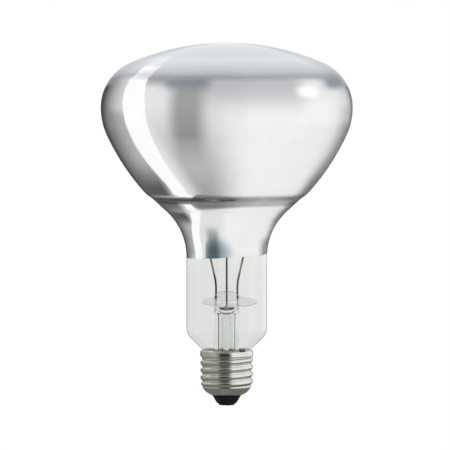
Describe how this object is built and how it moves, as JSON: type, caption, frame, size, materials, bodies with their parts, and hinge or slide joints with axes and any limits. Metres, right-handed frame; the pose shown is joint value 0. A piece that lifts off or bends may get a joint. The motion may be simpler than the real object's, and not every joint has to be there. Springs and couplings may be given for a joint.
{
  "type": "infrared heat lamp bulb",
  "caption": "Clear infrared reflector lamp: wide blown glass bulb silvered inside, satin front dome, clear neck showing its stem and wires, on a metal screw cap.",
  "frame": {"origin": "middle of the flat face of the centre contact, at the foot of the cap, on the lamp axis", "axes": "+Z along the lamp axis from the cap to the crown of the bulb; the lead wires lie in the XZ plane in the press, and -Y is the side the picture shows"},
  "size_m": [0.125, 0.125, 0.1801],
  "materials": {
    "bulb_glass": "clear blown soda-lime glass, satin on the front dome",
    "mirror_film": "bright vapour-deposited aluminium film on the inside of the bulb",
    "stem_glass": "clear lead glass, fire-polished",
    "mica": "thin translucent mica sheet",
    "nickel_wire": "plain nickel wire, a little heat-tinted",
    "copper_clad_wire": "borated copper-clad seal wire",
    "tinned_wire": "tinned copper wire",
    "molybdenum": "drawn molybdenum wire",
    "tungsten": "coiled tungsten wire",
    "cap_metal": "drawn and rolled sheet, satin",
    "black_glass": "black pressed glass, glossy",
    "contact_brass": "stamped brass, dull",
    "solder": "dull tin solder",
    "cement": "baked basing cement, rough"
  },
  "bodies": {
    "root": {"glass_bulb": "bulb_glass", "reflector_coating": "mirror_film", "glass_stem": "stem_glass", "exhaust_tube": "stem_glass", "heat_shield_disc": "mica", "inner_lead_left": "nickel_wire", "inner_lead_right": "nickel_wire", "seal_wire_left": "copper_clad_wire", "seal_wire_right": "copper_clad_wire", "outer_lead_contact": "tinned_wire", "outer_lead_shell": "tinned_wire", "support_post": "nickel_wire", "support_hook_1": "molybdenum", "support_hook_2": "molybdenum", "support_hook_3": "molybdenum", "filament": "tungsten", "screw_shell": "cap_metal", "cap_insulator": "black_glass", "contact_plate": "contact_brass", "contact_solder": "solder", "rim_solder": "solder", "basing_cement": "cement"}
  },
  "joints": []
}
